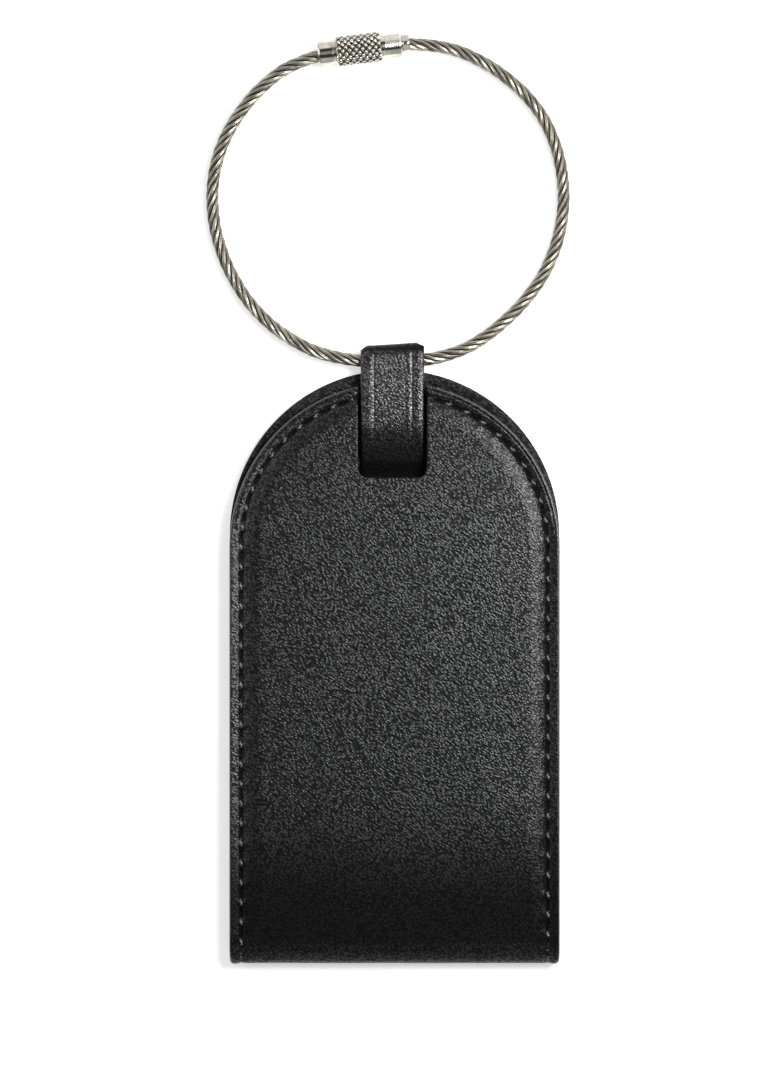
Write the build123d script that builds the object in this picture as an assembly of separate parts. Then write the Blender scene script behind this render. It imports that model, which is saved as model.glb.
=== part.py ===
from build123d import *
import math
import os

# Fold-over leather luggage tag with a strap loop and a screw-clasp wire-rope ring.
# The tag lies flat on its back: +X to the right, +Y towards the ring, +Z up through the flap.
# Millimetres. The origin is under the middle of the leather body and its strap, on the floor.

# ---- driving dimensions: leather body ----
BODY_WIDTH = 62.0
BODY_BOTTOM_Y = -58.2
BACK_ARCH_TOP_Y = 53.4
FLAP_ARCH_DROP = 1.8
LEATHER = 1.0
LINING = 0.7
STIFFENER = 0.8
PANEL_GAP = 1.0
SEAM_INSET = 2.2
PUFF_INSET = 3.0
FRAME_WALL = 1.0
BOARD_PLAY = 0.2
BOARD_FOLD_CLEARANCE = 2.0

# ---- driving dimensions: notch, strap and strap slot ----
STRAP_X = -0.4
STRAP_WIDTH = 11.9
STRAP = 1.0
STRAP_TOP_Y = 58.2
STRAP_CORNER = 1.4
STRAP_END_Y = 27.6
STRAP_LEG_OVERLAP = 0.6
STRAP_TURN_START = 0.2
STRAP_FRONT_ROUTE = [(47.0, 4.9), (40.0, 3.95), (35.4, 3.05), (31.7, 1.58)]
STRAP_FRONT_RADII = [30, 20, 5]
CHANNEL_PLAY = 0.1
BOARD_CHANNEL_PLAY = 0.5
BOARD_NOTCH_PLAY = 1.2
SLOT_PLAY = 0.3
STRAP_SEAM_DROP = 1.6
NOTCH_X = -0.3
NOTCH_WIDTH = 13.2
NOTCH_BOTTOM_Y = 33.1
NOTCH_CORNER = 1.8
SLOT_LOW_Y = 30.8
SLOT_HIGH_Y = 35.6

# ---- driving dimensions: magnets and stitches ----
MAGNET_RADIUS = 5.0
MAGNET_X = 17.0
MAGNET_Y = 32.0
STITCH_PITCH = 3.7
STITCH_LENGTH = 2.4
STITCH_WIDTH = 0.6
STITCH_HEIGHT = 0.3
STITCH_LIFT = 0.02

# ---- driving dimensions: address pocket ----
POCKET_WIDTH = 52.0
POCKET_LOW_Y = -51.0
POCKET_HIGH_Y = 25.0
POCKET_RIM = 2.5
POCKET_RIM_HEIGHT = 0.25
FILM = 0.2
CARD = 0.28
CARD_PLAY = 0.06
CARD_SIDE_PLAY = 0.4
CARD_CORNER = 2.0
THUMB_RADIUS = 9.0

# ---- driving dimensions: wire-rope ring and screw clasp ----
ROPE_RADIUS = 1.2
ROPE_PLAY = 0.3
ROPE_SLACK = 0.8
ROPE_ARC_SHARE = 0.45
CLASP_CENTRE = (-5.85, 113.83)
CLASP_TILT_DEG = 7.0
BARREL_START = -8.65
KNURL_START = -5.13
KNURL_END = 3.38
BARREL_END = 7.17
COLLAR_END = 8.74
COLLAR_GAP = 0.15
KNURL_RADIUS = 2.95
PLAIN_RADIUS = 2.55
COLLAR_RADIUS = 1.8
EXIT_HOLE_RADIUS = 1.28
CHAMBER_RADIUS = 1.70
CHAMBER_START = -6.6
SLEEVE_RADIUS = 1.65
FERRULE_START = -6.45
FERRULE_END = -1.6
STUD_TIP = 1.6
ROPE_END = 3.0
ROPE_TANGENT = 12.5
STUD_BORE_RADIUS = 1.25
END_GAP = 0.1
BARREL_CHAMFER = 0.25
KNURL_CHAMFER = 0.3

# ---- sizes worked out from the driving dimensions ----
HALF_WIDTH = BODY_WIDTH / 2
SHELL = LEATHER + STIFFENER + LINING
THICKNESS = 2 * SHELL + PANEL_GAP
MIDDLE_Z = THICKNESS / 2
FOLD_Y = BODY_BOTTOM_Y + MIDDLE_Z
BACK_ARCH_Y = BACK_ARCH_TOP_Y - HALF_WIDTH
FLAP_ARCH_Y = BACK_ARCH_Y - FLAP_ARCH_DROP
LINING_TOP_Z = SHELL
LOOP_Y = STRAP_TOP_Y - STRAP - ROPE_PLAY - ROPE_RADIUS
ROPE_Z = MIDDLE_Z
ROPE_Y = LOOP_Y - ROPE_SLACK
CLASP_Z = KNURL_RADIUS
CLASP_COS = math.cos(math.radians(CLASP_TILT_DEG))
CLASP_SIN = math.sin(math.radians(CLASP_TILT_DEG))
MIDDLE_PLANE = Plane.XY.offset(MIDDLE_Z)


def slab(outline, low_z, high_z):
    """A flat plate of the given outline between two heights."""
    return extrude(Pos(0, 0, low_z) * outline, high_z - low_z)


def box_between(low, high):
    """A box given by its lowest and highest corners."""
    size = [b - a for a, b in zip(low, high)]
    middle = [(a + b) / 2 for a, b in zip(low, high)]
    return Pos(*middle) * Box(*size)


def arched_outline(arch_y, inset=0.0):
    """The panel's outline: straight sides up from the fold, closed by a half-round arch."""
    half = HALF_WIDTH - inset
    height = arch_y - FOLD_Y
    return Pos(0, FOLD_Y + height / 2) * Rectangle(2 * half, height) + Pos(0, arch_y) * Circle(half)


def notch(margin=0.0):
    """The cut-out of the flap that the strap lies in, open at the arch."""
    height = 2 * (BACK_ARCH_TOP_Y - NOTCH_BOTTOM_Y)
    outline = RectangleRounded(
        NOTCH_WIDTH + 2 * margin, height + 2 * margin, NOTCH_CORNER + margin
    )
    outline = Pos(NOTCH_X, NOTCH_BOTTOM_Y + height / 2) * outline
    return slab(outline, 0, THICKNESS)


def strap_channel(low_z, high_z, play=CHANNEL_PLAY):
    """The flat passage between leather and lining that the strap's rear leg lies in."""
    half = STRAP_WIDTH / 2 + play
    return box_between(
        (STRAP_X - half, STRAP_END_Y - play, low_z),
        (STRAP_X + half, BACK_ARCH_TOP_Y + 1, high_z),
    )


# ---- the four layers of a panel, as they lie in the back panel ----
def outer_leather(arch_y):
    """Outer leather: low rim under the seam, puffed middle that wraps the stiffener."""
    rim = slab(arched_outline(arch_y), STIFFENER, STIFFENER + LEATHER)
    puff = slab(arched_outline(arch_y, PUFF_INSET), 0, STIFFENER + LEATHER)
    hollow = slab(
        arched_outline(arch_y, PUFF_INSET + FRAME_WALL), LEATHER, LEATHER + STIFFENER
    )
    return rim + puff - hollow


def lining(arch_y):
    """Lining: a flat sheet sewn to the outer leather along the seam."""
    return slab(arched_outline(arch_y), STIFFENER + LEATHER, SHELL)


def magnets(play=0.0):
    """Two thin discs, one each side of the strap."""
    discs = []
    for side in (-1, 1):
        disc = Cylinder(MAGNET_RADIUS + play, STIFFENER)
        discs.append(Pos(side * MAGNET_X, MAGNET_Y, LEATHER + STIFFENER / 2) * disc)
    return discs


def stiffener(arch_y):
    """Board inside the puffed middle, with a hole round each magnet, clear of the fold."""
    outline = arched_outline(arch_y, PUFF_INSET + FRAME_WALL + BOARD_PLAY)
    board = slab(outline, LEATHER, LEATHER + STIFFENER)
    fold_end = box_between(
        (-HALF_WIDTH, FOLD_Y - 1, LEATHER),
        (HALF_WIDTH, FOLD_Y + BOARD_FOLD_CLEARANCE, LEATHER + STIFFENER),
    )
    board -= fold_end
    for hole in magnets(play=BOARD_PLAY):
        board -= hole
    return board


# ---- stitches ----
def stitch(x, y, z, turn_deg):
    """One visible stitch: a short round-ended bar lying on the seam."""
    bar = extrude(SlotOverall(STITCH_LENGTH, STITCH_WIDTH), STITCH_HEIGHT)
    return Pos(x, y, z) * Rot(0, 0, turn_deg) * bar


def seam_places(arch_y):
    """Middle and direction of each stitch: up the left side, round the arch, down the right."""
    radius = HALF_WIDTH - SEAM_INSET
    side = arch_y - FOLD_Y
    arch = math.pi * radius
    count = round((2 * side + arch) / STITCH_PITCH)
    pitch = (2 * side + arch) / count
    places = []
    for i in range(count):
        along = (i + 0.5) * pitch
        if along < side:
            places.append((-radius, FOLD_Y + along, 90.0))
        elif along < side + arch:
            turn = math.pi - (along - side) / radius
            x = radius * math.cos(turn)
            y = arch_y + radius * math.sin(turn)
            places.append((x, y, math.degrees(turn) + 90))
        else:
            places.append((radius, FOLD_Y + 2 * side + arch - along, 90.0))
    return places


def back_stitches():
    """Stitches on the back panel's outside, in the low band round the puffed middle."""
    z = STIFFENER - STITCH_HEIGHT
    half = STRAP_WIDTH / 2 + STITCH_LENGTH
    places = seam_places(BACK_ARCH_Y)
    clear = [p for p in places if p[1] < BACK_ARCH_Y or abs(p[0] - STRAP_X) > half]
    return [stitch(x, y, z, turn) for x, y, turn in clear]


def front_stitches():
    """Stitches on the flap's outside, left out where the notch cuts the seam."""
    z = THICKNESS - STIFFENER
    half = NOTCH_WIDTH / 2 + STITCH_LENGTH / 2
    places = seam_places(FLAP_ARCH_Y)
    clear = [p for p in places if p[1] < FLAP_ARCH_Y or abs(p[0] - NOTCH_X) > half]
    return [stitch(x, y, z, turn) for x, y, turn in clear]


def fold_stitches():
    """Two stitches on each side where the seam runs round the fold."""
    bars = []
    for side in (-1, 1):
        for turn_deg in (45, 135):
            bar = Box(STITCH_WIDTH, STITCH_LENGTH / 2, STITCH_HEIGHT)
            bar = Pos(0, 0, MIDDLE_Z + STITCH_LIFT + STITCH_HEIGHT / 2) * bar
            bar = Rot(turn_deg, 0, 0) * bar
            bars.append(Pos(side * (HALF_WIDTH - SEAM_INSET), FOLD_Y, MIDDLE_Z) * bar)
    return bars


def strap_stitches():
    """One row across the lining that closes the strap loop behind it."""
    row_y = SLOT_LOW_Y - STRAP_SEAM_DROP
    step = STRAP_WIDTH / 3
    return [
        stitch(STRAP_X + i * step, row_y, LINING_TOP_Z, 0) for i in (-1, 0, 1)
    ]


# ---- fold: the strip of leather and lining that turns round the bottom edge ----
def fold_strip(inner, outer, low_x, high_x):
    """Half of a tube that joins the back panel to the flap."""
    ring = Circle(outer) - Circle(inner)
    half = ring & Pos(-outer, 0) * Rectangle(2 * outer, 2 * outer)
    strip = extrude(Plane.YZ * half, high_x - low_x)
    return Pos(low_x, FOLD_Y, MIDDLE_Z) * strip


def fold_outer_leather():
    """Full-width strip, with a thicker band at each side where the seam's layers bunch up."""
    strip = fold_strip(MIDDLE_Z - LEATHER, MIDDLE_Z, -HALF_WIDTH, HALF_WIDTH)
    band_inner = MIDDLE_Z - STIFFENER - LEATHER
    band_outer = MIDDLE_Z - LEATHER
    band_start = HALF_WIDTH - PUFF_INSET - FRAME_WALL
    strip += fold_strip(band_inner, band_outer, -HALF_WIDTH, -band_start)
    strip += fold_strip(band_inner, band_outer, band_start, HALF_WIDTH)
    return strip


def fold_lining():
    return fold_strip(PANEL_GAP / 2, PANEL_GAP / 2 + LINING, -HALF_WIDTH, HALF_WIDTH)


# ---- address pocket ----
def card_window():
    """Clear film pocket on the back lining, open at its right side, with a thumb cut-out."""
    low_x = -POCKET_WIDTH / 2
    high_x = POCKET_WIDTH / 2
    base_z = LINING_TOP_Z
    cavity_top = base_z + CARD + 2 * CARD_PLAY
    rim = box_between(
        (low_x, POCKET_LOW_Y, base_z), (high_x, POCKET_HIGH_Y, base_z + POCKET_RIM_HEIGHT)
    )
    raised = box_between(
        (low_x + POCKET_RIM - FILM, POCKET_LOW_Y + POCKET_RIM - FILM, base_z),
        (high_x, POCKET_HIGH_Y - POCKET_RIM + FILM, cavity_top + FILM),
    )
    cavity = box_between(
        (low_x + POCKET_RIM, POCKET_LOW_Y + POCKET_RIM, base_z),
        (high_x + 1, POCKET_HIGH_Y - POCKET_RIM, cavity_top),
    )
    middle_y = (POCKET_LOW_Y + POCKET_HIGH_Y) / 2
    thumb = Pos(high_x, middle_y, cavity_top) * Cylinder(THUMB_RADIUS, 2)
    return rim + raised - cavity - thumb


def address_card():
    """Paper card in the pocket, with rounded corners; it slides out to the right."""
    low_x = -POCKET_WIDTH / 2 + POCKET_RIM + CARD_SIDE_PLAY
    high_x = POCKET_WIDTH / 2 - CARD_SIDE_PLAY
    low_y = POCKET_LOW_Y + POCKET_RIM + CARD_SIDE_PLAY
    high_y = POCKET_HIGH_Y - POCKET_RIM - CARD_SIDE_PLAY
    outline = RectangleRounded(high_x - low_x, high_y - low_y, CARD_CORNER)
    outline = Pos((low_x + high_x) / 2, (low_y + high_y) / 2) * outline
    base_z = LINING_TOP_Z + CARD_PLAY
    return slab(outline, base_z, base_z + CARD)


def window_stitches():
    """Stitches through the pocket's rim along its top, left and bottom sides."""
    z = LINING_TOP_Z + POCKET_RIM_HEIGHT
    inset = (POCKET_RIM - FILM) / 2
    left_x = -POCKET_WIDTH / 2 + inset
    bars = []
    across = round((POCKET_WIDTH - 2 * inset) / STITCH_PITCH)
    for y in (POCKET_LOW_Y + inset, POCKET_HIGH_Y - inset):
        for i in range(1, across):
            bars.append(stitch(left_x + i * STITCH_PITCH, y, z, 0))
    up = round((POCKET_HIGH_Y - POCKET_LOW_Y - 2 * inset) / STITCH_PITCH)
    for i in range(1, up):
        bars.append(stitch(left_x, POCKET_LOW_Y + inset + i * STITCH_PITCH, z, 90))
    return bars


# ---- strap ----
def strap_loop():
    """Closed leather strap: over the rope, down into the notch, through the lining's slot,
    and back up between lining and outer leather. Its legs are one piece once sewn."""
    bend = STRAP / 2 + ROPE_PLAY + ROPE_RADIUS
    rear_z = ROPE_Z - bend
    front_z = ROPE_Z + bend
    rear = Line((BACK_ARCH_TOP_Y + STRAP_TURN_START, rear_z), (LOOP_Y, rear_z))
    turn = ThreePointArc((LOOP_Y, rear_z), (LOOP_Y + bend, ROPE_Z), (LOOP_Y, front_z))
    front = FilletPolyline((LOOP_Y, front_z), *STRAP_FRONT_ROUTE, radius=STRAP_FRONT_RADII)
    profile = trace(rear + turn + front, line_width=STRAP)
    loop = extrude(Plane.YZ * profile, STRAP_WIDTH)
    loop = Pos(STRAP_X - STRAP_WIDTH / 2, 0, 0) * loop
    half = STRAP_WIDTH / 2
    leg = box_between(
        (STRAP_X - half, STRAP_END_Y, LEATHER),
        (STRAP_X + half, BACK_ARCH_TOP_Y + STRAP_LEG_OVERLAP, LEATHER + STIFFENER),
    )
    plan = Polyline(
        (STRAP_X - half, STRAP_END_Y), (STRAP_X + half, STRAP_END_Y),
        (STRAP_X + half, STRAP_TOP_Y - STRAP_CORNER), (STRAP_X + half - STRAP_CORNER, STRAP_TOP_Y),
        (STRAP_X - half + STRAP_CORNER, STRAP_TOP_Y), (STRAP_X - half, STRAP_TOP_Y - STRAP_CORNER),
        close=True,
    )
    return (loop + leg) & slab(make_face(plan), 0, THICKNESS)


# ---- wire-rope ring and screw clasp ----
def clasp_point(along):
    """A point on the clasp's axis, measured from the middle of the barrel."""
    x = CLASP_CENTRE[0] + along * CLASP_COS
    y = CLASP_CENTRE[1] + along * CLASP_SIN
    return (x, y, CLASP_Z)


ROPE_ROUTE = [
    clasp_point(-ROPE_END),
    clasp_point(-ROPE_TANGENT),
    (-28.4, 103.7, 2.2),
    (-34.1, 92.9, 1.6),
    (-34.5, 80.9, 1.3),
    (-30.2, 69.4, 1.4),
    (-22.6, 60.6, 2.2),
    (-11.2, ROPE_Y, ROPE_Z),
    (9.8, ROPE_Y, ROPE_Z),
    (21.8, 62.7, 2.2),
    (30.2, 73.9, 1.4),
    (32.6, 87.9, 1.3),
    (28.6, 101.6, 1.7),
    (18.4, 111.0, 2.4),
    clasp_point(ROPE_TANGENT),
    clasp_point(ROPE_END),
]


def rope_radii():
    """The largest arc at each inner point of the route that its two runs leave room for."""
    route = [Vector(*point) for point in ROPE_ROUTE]
    radii = []
    for before, here, after in zip(route, route[1:], route[2:]):
        arriving = here - before
        leaving = after - here
        half_turn = math.radians(arriving.get_angle(leaving)) / 2
        shorter = min(arriving.length, leaving.length)
        radii.append(ROPE_ARC_SHARE * shorter / math.tan(half_turn))
    return radii


def wire_rope():
    """The ring: one open length of wire rope whose two ends sit in the clasp."""
    radii = rope_radii()
    path = FilletPolyline(*ROPE_ROUTE, radius=radii)
    start = Plane(origin=path @ 0, z_dir=path % 0)
    tube = sweep(start * Circle(ROPE_RADIUS), path=path)
    print("rope radii", [round(r, 1) for r in radii])
    section = math.pi * ROPE_RADIUS**2
    print("rope length", round(path.length, 1), "volume", round(tube.volume, 1),
          "section times length", round(section * path.length, 1))
    return tube


def on_clasp_axis(radius, start, end):
    """A round bar on the clasp's axis from one place along it to another."""
    plane = Plane(origin=clasp_point(start), z_dir=(CLASP_COS, CLASP_SIN, 0))
    return extrude(plane * Circle(radius), end - start)


def clasp_barrel():
    """Knurled nut: a hole that the rope leaves by, a shoulder, and a threaded chamber."""
    barrel = on_clasp_axis(PLAIN_RADIUS, BARREL_START, BARREL_END)
    barrel = chamfer(barrel.edges(), BARREL_CHAMFER)
    knurl = on_clasp_axis(KNURL_RADIUS, KNURL_START, KNURL_END)
    barrel += chamfer(knurl.edges(), KNURL_CHAMFER)
    barrel -= on_clasp_axis(EXIT_HOLE_RADIUS, BARREL_START - 1, CHAMBER_START)
    return barrel - on_clasp_axis(CHAMBER_RADIUS, CHAMBER_START, BARREL_END + 1)


def clasp_ferrule():
    """Sleeve crimped on the rope's left end; the barrel's shoulder holds and turns on it."""
    sleeve = on_clasp_axis(SLEEVE_RADIUS, FERRULE_START, FERRULE_END)
    return sleeve - on_clasp_axis(ROPE_RADIUS, FERRULE_START - 1, -ROPE_END + END_GAP)


def threaded_stud():
    """Stud crimped on the rope's right end: a threaded shank and a collar."""
    stud = on_clasp_axis(SLEEVE_RADIUS, STUD_TIP, COLLAR_END)
    stud += on_clasp_axis(COLLAR_RADIUS, BARREL_END + COLLAR_GAP, COLLAR_END)
    return stud - on_clasp_axis(STUD_BORE_RADIUS, ROPE_END - END_GAP, COLLAR_END + 1)


def flipped(shape):
    """The flap's layers are the back panel's, mirrored in the plane between them."""
    return mirror(shape, about=MIDDLE_PLANE)


def build_nodes():
    channel_floor = strap_channel(0, LEATHER) & slab(arched_outline(BACK_ARCH_Y), 0, THICKNESS)
    channel = strap_channel(LEATHER, LEATHER + STIFFENER)
    slot = box_between(
        (STRAP_X - STRAP_WIDTH / 2 - SLOT_PLAY, SLOT_LOW_Y, 0),
        (STRAP_X + STRAP_WIDTH / 2 + SLOT_PLAY, SLOT_HIGH_Y, MIDDLE_Z),
    )
    return {
        "back_outer_leather": outer_leather(BACK_ARCH_Y) + channel_floor - channel,
        "back_lining": lining(BACK_ARCH_Y) - slot,
        "back_stiffener": (
            stiffener(BACK_ARCH_Y) - strap_channel(0, THICKNESS, play=BOARD_CHANNEL_PLAY)
        ),
        "back_magnets": Compound(children=magnets()),
        "back_stitching": Compound(children=back_stitches()),
        "card_window": card_window(),
        "window_stitching": Compound(children=window_stitches()),
        "address_card": address_card(),
        "strap_loop": strap_loop(),
        "strap_stitching": Compound(children=strap_stitches()),
        "fold_outer_leather": fold_outer_leather(),
        "fold_lining": fold_lining(),
        "fold_stitching": Compound(children=fold_stitches()),
        "front_outer_leather": flipped(outer_leather(FLAP_ARCH_Y)) - notch(),
        "front_lining": flipped(lining(FLAP_ARCH_Y)) - notch(),
        "front_stiffener": flipped(stiffener(FLAP_ARCH_Y)) - notch(margin=BOARD_NOTCH_PLAY),
        "front_magnets": Compound(children=[flipped(disc) for disc in magnets()]),
        "front_stitching": Compound(children=front_stitches()),
        "wire_rope": wire_rope(),
        "clasp_ferrule": clasp_ferrule(),
        "clasp_barrel": clasp_barrel(),
        "threaded_stud": threaded_stud(),
    }


os.makedirs("parts", exist_ok=True)
for node, shape in build_nodes().items():
    export_step(shape, f"parts/{node}.step")
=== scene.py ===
import math

import bmesh
import bpy
import numpy as np
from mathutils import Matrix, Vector, geometry, noise


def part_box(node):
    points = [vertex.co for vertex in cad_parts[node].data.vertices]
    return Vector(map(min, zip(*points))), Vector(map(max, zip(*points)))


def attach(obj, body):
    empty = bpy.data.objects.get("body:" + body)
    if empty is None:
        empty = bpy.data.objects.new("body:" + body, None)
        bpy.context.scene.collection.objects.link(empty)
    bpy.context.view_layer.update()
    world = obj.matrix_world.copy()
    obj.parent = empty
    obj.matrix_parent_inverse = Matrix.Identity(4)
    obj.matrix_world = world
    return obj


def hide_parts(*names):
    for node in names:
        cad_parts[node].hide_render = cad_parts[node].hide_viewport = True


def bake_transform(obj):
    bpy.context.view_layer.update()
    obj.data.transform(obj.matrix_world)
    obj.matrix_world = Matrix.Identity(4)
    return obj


# Fold-over leather luggage tag. Lengths are in millimetres until a mesh is made.
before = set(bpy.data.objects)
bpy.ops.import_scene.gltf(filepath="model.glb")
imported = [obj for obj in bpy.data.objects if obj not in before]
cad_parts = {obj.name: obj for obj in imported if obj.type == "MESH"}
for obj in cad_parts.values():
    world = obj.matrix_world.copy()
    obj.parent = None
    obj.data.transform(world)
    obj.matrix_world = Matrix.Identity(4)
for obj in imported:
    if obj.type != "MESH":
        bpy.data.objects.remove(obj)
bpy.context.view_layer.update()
MM = 0.001
TURN = 2 * math.pi


def node_box(node):
    """A CAD node's lowest and highest corners in millimetres."""
    low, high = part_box(node)
    return [c / MM for c in low], [c / MM for c in high]


# ---- sizes read from the frame ----
LINING_LOW, LINING_HIGH = node_box("back_lining")
FLAP_HIGH = node_box("front_lining")[1]
FOLD_HIGH = node_box("fold_outer_leather")[1]
STRAP_LOW, STRAP_HIGH = node_box("strap_loop")
HALF_WIDTH = LINING_HIGH[0]
FOLD_Y = LINING_LOW[1]
MIDDLE_Z = FOLD_HIGH[2] / 2
BACK_ARCH_Y = LINING_HIGH[1] - HALF_WIDTH
FLAP_ARCH_Y = FLAP_HIGH[1] - HALF_WIDTH
LAYER_FACE = MIDDLE_Z - LINING_LOW[2]      # height of the face where leather meets lining
LINING_FACE = MIDDLE_Z - LINING_HIGH[2]    # height of the lining's free face
STRAP_X = (STRAP_LOW[0] + STRAP_HIGH[0]) / 2
STRAP_WIDTH = STRAP_HIGH[0] - STRAP_LOW[0]

# ---- sizes of the leather's looks ----
LEATHER = 1.0
RIM_HEIGHT = 2.2
PUFF_HEIGHT = MIDDLE_Z
FOLD_RADIUS = MIDDLE_Z - LEATHER / 2
FOLD_HALF = FOLD_RADIUS * math.pi / 2
SEAM = 2.2
PITCH = 3.7
NOTCH_X = -0.38
NOTCH_HALF = 6.45
NOTCH_BOTTOM = 33.1
NOTCH_CORNER = 1.8
SLOT_LOW = 30.8
SLOT_HIGH = 35.6
SLOT_HALF = STRAP_WIDTH / 2 + 0.3
# A panel's heights go outwards from the tag's middle plane: down in the back, up in the flap.
# A panel's flat pattern has x across and v along; v is y, but below FOLD_Y it turns the fold.


# ---- small helpers ----
def smooth(t):
    t = np.clip(t, 0, 1)
    return t * t * (3 - 2 * t)


def bell(x, width):
    return np.exp(-((x / width) ** 2))


def new_object(name, data):
    obj = bpy.data.objects.new(name, data)
    bpy.context.scene.collection.objects.link(obj)
    return obj


def new_piece(name, verts, faces, sharp_deg, slot, *finishes):
    """A mesh object from points in millimetres, with its materials; the record slot is not used.
    """
    mesh = bpy.data.meshes.new(name)
    mesh.from_pydata([tuple(v) for v in np.asarray(verts) * MM], [], [tuple(f) for f in faces])
    mesh.validate()
    faced = bmesh.new()
    faced.from_mesh(mesh)
    bmesh.ops.recalc_face_normals(faced, faces=faced.faces)
    faced.to_mesh(mesh)
    faced.free()
    mesh.shade_smooth()
    mesh.set_sharp_from_angle(angle=math.radians(sharp_deg))
    for finish in finishes:
        mesh.materials.append(finish)
    obj = new_object(name, mesh)
    return obj


def use_second_material(mesh, chosen):
    """The second material goes on the chosen faces, the first on the others."""
    mesh.polygons.foreach_set("material_index", np.array(chosen, np.int32))


def join(parts):
    """Several (points, faces) lists as one."""
    verts, faces, start = [], [], 0
    for points, polygons in parts:
        verts.append(np.asarray(points, float))
        faces += [tuple(i + start for i in f) for f in polygons]
        start += len(points)
    return np.concatenate(verts), faces


def ring_faces(rows, around, closed_rows=False):
    """Quads of a grid that is closed round each row."""
    faces = []
    for r in range(rows if closed_rows else rows - 1):
        for a in range(around):
            b = (a + 1) % around
            n = (r + 1) % rows
            faces.append((r * around + a, r * around + b, n * around + b, n * around + a))
    return faces


# ---- materials ----
def material(name):
    mat = bpy.data.materials.new(name)
    mat.use_nodes = True
    tree = mat.node_tree
    return mat, tree, tree.nodes["Principled BSDF"]


def fill(tree, node, inputs):
    """Fills a shader node's inputs with values or with other nodes' outputs."""
    for key, value in inputs.items():
        if isinstance(value, bpy.types.NodeSocket):
            tree.links.new(value, node.inputs[key])
        else:
            node.inputs[key].default_value = value


def add(tree, kind, inputs, **settings):
    """A shader node with its inputs and settings."""
    node = tree.nodes.new(kind)
    for key, value in settings.items():
        setattr(node, key, value)
    fill(tree, node, inputs)
    return node


def ramp(tree, factor, stops):
    node = add(tree, "ShaderNodeValToRGB", {"Fac": factor})
    elements = node.color_ramp.elements
    while len(elements) < len(stops):
        elements.new(0.5)
    for element, (place, colour) in zip(elements, stops):
        element.position = place
        element.color = (*colour, 1)
    return node.outputs["Color"]


def grey(value):
    return (value, value, value)


def object_place(tree):
    return add(tree, "ShaderNodeTexCoord", {}).outputs["Object"]


def noise_at(tree, place, scale, detail, roughness=0.5, output="Fac"):
    inputs = {"Vector": place, "Scale": scale, "Detail": detail, "Roughness": roughness}
    return add(tree, "ShaderNodeTexNoise", inputs).outputs[output]


def mapped(tree, value, low, high, start=0.0, end=1.0):
    """A value's range from start to end, mapped to the range from low to high."""
    inputs = {"Value": value, "From Min": start, "From Max": end, "To Min": low, "To Max": high}
    return add(tree, "ShaderNodeMapRange", inputs).outputs["Result"]


def worked(tree, operation, *values, kind="ShaderNodeMath"):
    """A math node's result."""
    return add(tree, kind, dict(enumerate(values)), operation=operation).outputs[0]


def bump(tree, bsdf, height, strength, depth_mm, invert=False):
    inputs = {"Height": height, "Strength": strength, "Distance": depth_mm * MM}
    raised = add(tree, "ShaderNodeBump", inputs, invert=invert)
    fill(tree, bsdf, {"Normal": raised.outputs["Normal"]})


FINISH_REACH = 60          # the leather's finish is given within this of the origin, in mm
GRAIN_SLANT = math.radians(-37)
GRAIN_STRETCH = 1.9        # a cell's length over its width
WARP_SCALE = 900.0         # noise scales are in waves per metre
WARP_REACH = 0.00045
PORE_SCALE = 3200.0
PORE_SHARE = 0.35          # the pores' depth as a share of the cells'
CLOUD_SCALE = 90.0
DULLED_GRAIN = 0.2           # the share of the grain's depth left where the finish dulls the leather as painted shade


def leather(name, dark, light, grain_mm, grain_depth_mm, rough, specular=0.5, finish=((0, 1),)):
    """Pebbled leather: small cells stretched along one slant, pores, and slow tone changes.

    finish gives the share of shine and grain kept at heights along the piece, in mm; lowering it
    dulls the leather as painted shade.
    """
    mat, tree, bsdf = material(name)
    place = object_place(tree)
    slanted = add(
        tree, "ShaderNodeMapping",
        {"Vector": place, "Rotation": (0, 0, GRAIN_SLANT), "Scale": (GRAIN_STRETCH, 1.0, 1.0)},
        vector_type="TEXTURE",
    ).outputs["Vector"]
    warp = noise_at(tree, slanted, WARP_SCALE, 2.0, output="Color")
    shift = worked(tree, "MULTIPLY", warp, (WARP_REACH,) * 3, kind="ShaderNodeVectorMath")
    bent = worked(tree, "ADD", slanted, shift, kind="ShaderNodeVectorMath")
    cells = add(
        tree, "ShaderNodeTexVoronoi",
        {"Vector": bent, "Scale": 1000 / grain_mm, "Smoothness": 0.35}, feature="SMOOTH_F1",
    ).outputs["Distance"]
    pores = noise_at(tree, bent, PORE_SCALE, 3.0, 0.6)
    cloud = noise_at(tree, place, CLOUD_SCALE, 4.0)
    up = add(tree, "ShaderNodeSeparateXYZ", {"Vector": place}).outputs["Y"]
    level = mapped(tree, up, 0.0, 1.0, -FINISH_REACH * MM, FINISH_REACH * MM)
    # Painted shade: the finish ramp dulls the shine and grain at the given heights.
    painted_shine = ramp(tree, level, [(0.5 + y / (2 * FINISH_REACH), grey(left)) for y, left in finish])
    height = worked(tree, "MULTIPLY_ADD", pores, -PORE_SHARE, cells)
    bump(tree, bsdf, height, mapped(tree, painted_shine, DULLED_GRAIN, 1.0), grain_depth_mm, invert=True)
    hollow = worked(tree, "MULTIPLY", cells, 0.6)
    tone = worked(tree, "MULTIPLY_ADD", cloud, 0.55, hollow)
    gloss = mapped(tree, cells, specular, 0.2 * specular, 0.15, 0.6)
    fill(tree, bsdf, {
        "Base Color": ramp(tree, tone, [(0.2, light), (0.75, dark)]),
        "Roughness": mapped(tree, cloud, rough - 0.03, rough + 0.05, 0.3, 0.7),
        "Specular IOR Level": worked(tree, "MULTIPLY", gloss, painted_shine),
    })
    return mat


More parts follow.
